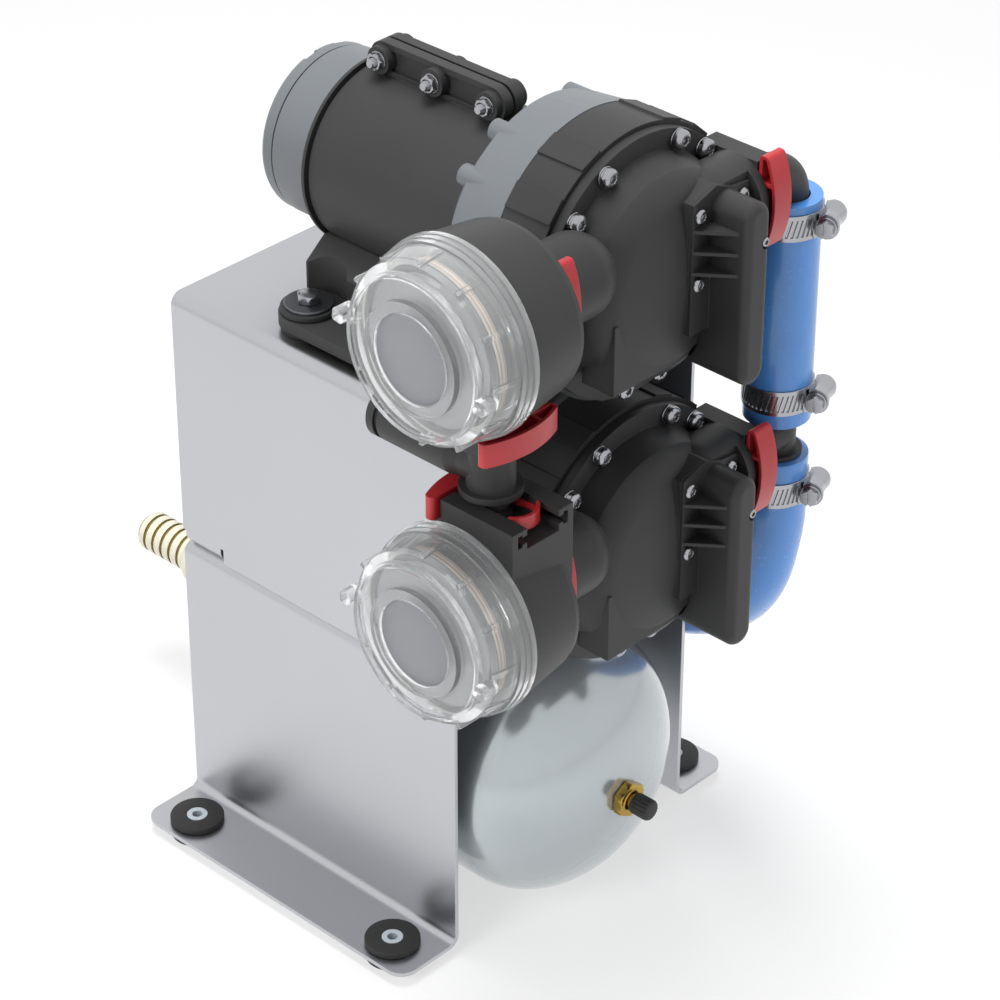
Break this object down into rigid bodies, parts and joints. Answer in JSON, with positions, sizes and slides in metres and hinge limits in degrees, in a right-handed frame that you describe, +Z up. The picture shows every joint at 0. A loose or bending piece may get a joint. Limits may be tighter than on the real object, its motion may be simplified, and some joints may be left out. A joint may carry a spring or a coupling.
{
  "type": "water pressure pump set",
  "caption": "Two stacked diaphragm water pumps with clear-lidded strainers on a bent sheet frame, joined by clamped hoses to an accumulator tank",
  "frame": {"origin": "on the floor, midway between the four foot holes", "axes": "+Z up, pump heads face -Y, strainers point to -X, hoses run down at +X"},
  "size_m": [0.272, 0.3884, 0.4199],
  "materials": {
    "sheet_steel": "satin",
    "charcoal_plastic": "fine matte texture",
    "motor_grey": "satin",
    "clear_plastic": "polished clear",
    "tan_rubber": "matte",
    "red_plastic": "satin",
    "blue_hose": "glossy",
    "bright_steel": "bright zinc",
    "black_rubber": "matte",
    "tank_paint": "gloss",
    "brass": "polished",
    "black_plastic": "satin",
    "cream_plastic": "satin",
    "ferrite": "matte",
    "rotor_steel": "satin",
    "screen_mesh": "fine mesh",
    "diaphragm_rubber": "matte"
  },
  "bodies": {
    "pump_set": {"air_valve": "brass", "bracket_fasteners": "bright_steel", "clamp_bands": "bright_steel", "clamp_screws": "bright_steel", "curved_hose": "blue_hose", "foot_grommets": "black_rubber", "foot_sleeves": "bright_steel", "head_screws": "bright_steel", "inlet_tee": "charcoal_plastic", "jacket_fasteners": "bright_steel", "lower_bracket": "sheet_steel", "lower_diaphragm": "diaphragm_rubber", "lower_end_cap": "motor_grey", "lower_mid_body": "charcoal_plastic", "lower_motor_can": "motor_grey", "lower_motor_jacket": "charcoal_plastic", "lower_pump_head": "charcoal_plastic", "lower_rear_housing": "motor_grey", "lower_strainer_bowl": "charcoal_plastic", "lower_strainer_screen": "screen_mesh", "lower_strainer_seal": "tan_rubber", "lower_switch_cover": "charcoal_plastic", "motor_bearings": "bright_steel", "motor_magnets": "ferrite", "mount_bolts": "bright_steel", "mount_grommets": "black_rubber", "mount_washers": "bright_steel", "outlet_elbow": "charcoal_plastic", "outlet_tee": "charcoal_plastic", "port_seals": "diaphragm_rubber", "straight_hose": "blue_hose", "switch_screws": "bright_steel", "tank_bladder": "diaphragm_rubber", "tank_shell": "tank_paint", "tank_tee": "cream_plastic", "upper_bracket": "sheet_steel", "upper_diaphragm": "diaphragm_rubber", "upper_end_cap": "motor_grey", "upper_mid_body": "charcoal_plastic", "upper_motor_can": "motor_grey", "upper_motor_jacket": "charcoal_plastic", "upper_pump_head": "charcoal_plastic", "upper_rear_housing": "motor_grey", "upper_strainer_bowl": "charcoal_plastic", "upper_strainer_screen": "screen_mesh", "upper_strainer_seal": "tan_rubber", "upper_switch_cover": "charcoal_plastic", "valve_plates": "charcoal_plastic"},
    "upper_lid": {"upper_strainer_lid": "clear_plastic"},
    "lower_lid": {"lower_strainer_lid": "clear_plastic"},
    "upper_armature": {"upper_armature": "rotor_steel"},
    "lower_armature": {"lower_armature": "rotor_steel"},
    "upper_outlet_clip": {"upper_outlet_clip": "red_plastic"},
    "lower_outlet_clip": {"lower_outlet_clip": "red_plastic"},
    "upper_inlet_clip": {"upper_inlet_clip": "red_plastic"},
    "lower_inlet_clip": {"lower_inlet_clip": "red_plastic"},
    "upper_tee_clip": {"upper_tee_clip": "red_plastic"},
    "lower_tee_clip": {"lower_tee_clip": "red_plastic"},
    "valve_cap": {"valve_cap": "black_plastic"}
  },
  "joints": [
    {"name": "upper_lid_turn", "type": "hinge", "parent": "pump_set", "child": "upper_lid", "pos_m": [-0.14, -0.1395, 0.376], "axis": [-1, 0, 0], "range_deg": [0, 30]},
    {"name": "lower_lid_turn", "type": "hinge", "parent": "pump_set", "child": "lower_lid", "pos_m": [-0.14, -0.1395, 0.24], "axis": [-1, 0, 0], "range_deg": [0, 30]},
    {"name": "upper_armature_spin", "type": "hinge", "parent": "pump_set", "child": "upper_armature", "pos_m": [0, 0, 0.3515], "axis": [0, 1, 0], "continuous": true},
    {"name": "lower_armature_spin", "type": "hinge", "parent": "pump_set", "child": "lower_armature", "pos_m": [0, 0, 0.2155], "axis": [0, 1, 0], "continuous": true},
    {"name": "upper_outlet_clip_slide", "type": "slide", "parent": "pump_set", "child": "upper_outlet_clip", "axis": [0, -1, 0], "range_m": [0, 0.0082]},
    {"name": "lower_outlet_clip_slide", "type": "slide", "parent": "pump_set", "child": "lower_outlet_clip", "axis": [0, -1, 0], "range_m": [0, 0.0082]},
    {"name": "upper_inlet_clip_slide", "type": "slide", "parent": "pump_set", "child": "upper_inlet_clip", "axis": [0, -1, 0], "range_m": [0, 0.0082]},
    {"name": "lower_inlet_clip_slide", "type": "slide", "parent": "pump_set", "child": "lower_inlet_clip", "axis": [0, -1, 0], "range_m": [0, 0.0082]},
    {"name": "upper_tee_clip_slide", "type": "slide", "parent": "pump_set", "child": "upper_tee_clip", "axis": [0, -1, 0], "range_m": [0, 0.013]},
    {"name": "lower_tee_clip_slide", "type": "slide", "parent": "pump_set", "child": "lower_tee_clip", "axis": [0, 1, 0], "range_m": [0, 0.013]},
    {"name": "valve_cap_turn", "type": "hinge", "parent": "pump_set", "child": "valve_cap", "pos_m": [-0.004, -0.138, 0.071], "axis": [0, 1, 0], "continuous": true}
  ]
}
